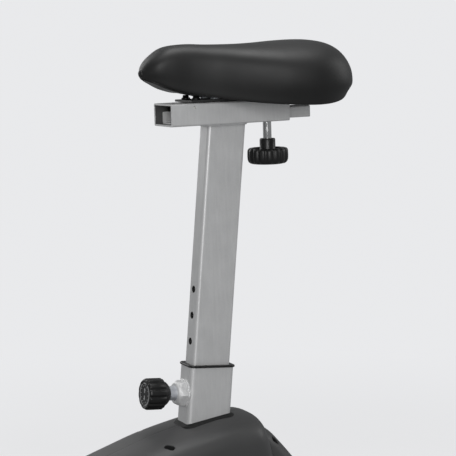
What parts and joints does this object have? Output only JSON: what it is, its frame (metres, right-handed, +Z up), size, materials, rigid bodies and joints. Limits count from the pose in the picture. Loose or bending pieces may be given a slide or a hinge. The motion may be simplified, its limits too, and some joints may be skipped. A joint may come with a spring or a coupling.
{
  "type": "exercise bike",
  "caption": "Upright magnetic exercise bike: padded saddle on a sliding rail and pin-set post, belt-driven flywheel under a dark shroud, handlebar with console",
  "frame": {"origin": "on the floor, under the centre of the bike's bounding box", "axes": "+X forward, +Y to the rider's left, +Z up"},
  "size_m": [0.904, 0.513, 1.2529],
  "materials": {
    "silver_paint": "satin metallic",
    "black_paint": "satin",
    "dark_shell": "fine textured",
    "black_plastic": "moulded",
    "zinc": "zinc plated",
    "chrome": "polished",
    "saddle_skin": "smooth",
    "foam": "foam",
    "rubber": "matte",
    "cast_iron": "painted",
    "nylon": "moulded",
    "magnet": "nickel plated",
    "lcd_glass": "clear",
    "button_rubber": "silicone"
  },
  "bodies": {
    "frame": {"main_beam": "silver_paint", "rear_stabilizer": "silver_paint", "front_stabilizer": "silver_paint", "foot_caps": "black_plastic", "stabilizer_bolts": "zinc", "seat_tube": "silver_paint", "seat_tube_bush": "black_plastic", "crank_bracket": "black_paint", "flywheel_fork": "black_paint", "mast_socket": "silver_paint", "pin_nut": "zinc", "bb_bearings": "chrome", "drive_belt": "rubber", "flywheel_bearings": "chrome", "tension_motor": "black_plastic", "left_shroud": "dark_shell", "right_shroud": "dark_shell", "shroud_collar": "rubber", "mast": "silver_paint", "handlebar_clamp": "black_plastic", "handlebar": "silver_paint", "left_grip": "foam", "right_grip": "foam", "console_base": "dark_shell", "console_face": "black_plastic", "console_screen": "lcd_glass"},
    "left_roller": {"left_transport_wheel": "rubber"},
    "right_roller": {"right_transport_wheel": "rubber"},
    "seat_post": {"seat_post": "silver_paint", "seat_rail": "silver_paint", "rail_weld": "silver_paint"},
    "saddle": {"seat_slider": "silver_paint", "slider_guides": "nylon", "saddle_bracket": "black_paint", "saddle_bolts": "zinc", "saddle_pan": "black_plastic", "saddle_pad": "saddle_skin"},
    "clamp_screw": {"clamp_bolt": "chrome", "clamp_knob": "black_plastic"},
    "pin_sleeve": {"pin_barrel": "zinc", "pin_spring": "zinc"},
    "height_pin": {"pull_pin": "chrome", "pin_knob": "black_plastic"},
    "crank": {"crank_axle": "chrome", "drive_pulley": "black_plastic", "left_crank": "black_paint", "right_crank": "black_paint", "pedal_spindles": "chrome"},
    "left_pedal": {"left_pedal": "black_plastic"},
    "right_pedal": {"right_pedal": "black_plastic"},
    "flywheel": {"flywheel": "cast_iron", "flywheel_axle": "chrome", "flywheel_pulley": "chrome"},
    "brake": {"brake_arm": "black_paint", "brake_magnets": "magnet"},
    "mode_button": {"mode_button": "button_rubber"},
    "set_button": {"set_button": "button_rubber"},
    "reset_button": {"reset_button": "button_rubber"}
  },
  "joints": [
    {"name": "seat_height", "type": "slide", "parent": "frame", "child": "seat_post", "axis": [-0.1063, 0, 0.9943], "range_m": [-0.152, 0.114]},
    {"name": "seat_fore_aft", "type": "slide", "parent": "seat_post", "child": "saddle", "axis": [1, 0, 0], "range_m": [-0.03, 0.03]},
    {"name": "clamp_knob_turn", "type": "hinge", "parent": "seat_post", "child": "clamp_screw", "pos_m": [-0.32458, 0, 0.7986], "axis": [0, 0, -1], "range_deg": [0, 360]},
    {"name": "pin_sleeve_turn", "type": "hinge", "parent": "frame", "child": "pin_sleeve", "pos_m": [-0.21075, 0, 0.44723], "axis": [0.9943, 0, 0.1063], "range_deg": [0, 180]},
    {"name": "height_pin_pull", "type": "slide", "parent": "pin_sleeve", "child": "height_pin", "axis": [0.9943, 0, 0.1063], "range_m": [0, 0.01], "stiffness_N_per_m": 600, "springref_m": -0.008, "deforming": ["pin_spring"]},
    {"name": "crank_turn", "type": "hinge", "parent": "frame", "child": "crank", "pos_m": [-0.063, 0, 0.27], "axis": [0, 1, 0], "continuous": true},
    {"name": "left_pedal_turn", "type": "hinge", "parent": "crank", "child": "left_pedal", "pos_m": [0.107, 0.143, 0.27], "axis": [0, 1, 0], "continuous": true},
    {"name": "right_pedal_turn", "type": "hinge", "parent": "crank", "child": "right_pedal", "pos_m": [-0.233, -0.143, 0.27], "axis": [0, 1, 0], "continuous": true},
    {"name": "flywheel_spin", "type": "hinge", "parent": "frame", "child": "flywheel", "pos_m": [0.127, 0, 0.23], "axis": [0, 1, 0], "continuous": true},
    {"name": "brake_arm_lift", "type": "hinge", "parent": "frame", "child": "brake", "pos_m": [0.23, 0, 0.292], "axis": [0, 1, 0], "range_deg": [0, 8]},
    {"name": "left_roller_spin", "type": "hinge", "parent": "frame", "child": "left_roller", "pos_m": [0.427, 0.162, 0.03], "axis": [0, 1, 0], "continuous": true},
    {"name": "right_roller_spin", "type": "hinge", "parent": "frame", "child": "right_roller", "pos_m": [0.427, -0.162, 0.03], "axis": [0, 1, 0], "continuous": true},
    {"name": "mode_button_press", "type": "slide", "parent": "frame", "child": "mode_button", "axis": [0.766, 0, -0.6428], "range_m": [0, 0.0018], "stiffness_N_per_m": 400, "springref_m": -0.001},
    {"name": "set_button_press", "type": "slide", "parent": "frame", "child": "set_button", "axis": [0.766, 0, -0.6428], "range_m": [0, 0.0018], "stiffness_N_per_m": 400, "springref_m": -0.001},
    {"name": "reset_button_press", "type": "slide", "parent": "frame", "child": "reset_button", "axis": [0.766, 0, -0.6428], "range_m": [0, 0.0018], "stiffness_N_per_m": 400, "springref_m": -0.001}
  ],
  "couplings": [
    {"joint": "flywheel_spin", "follows": "crank_turn", "ratio": 5}
  ]
}
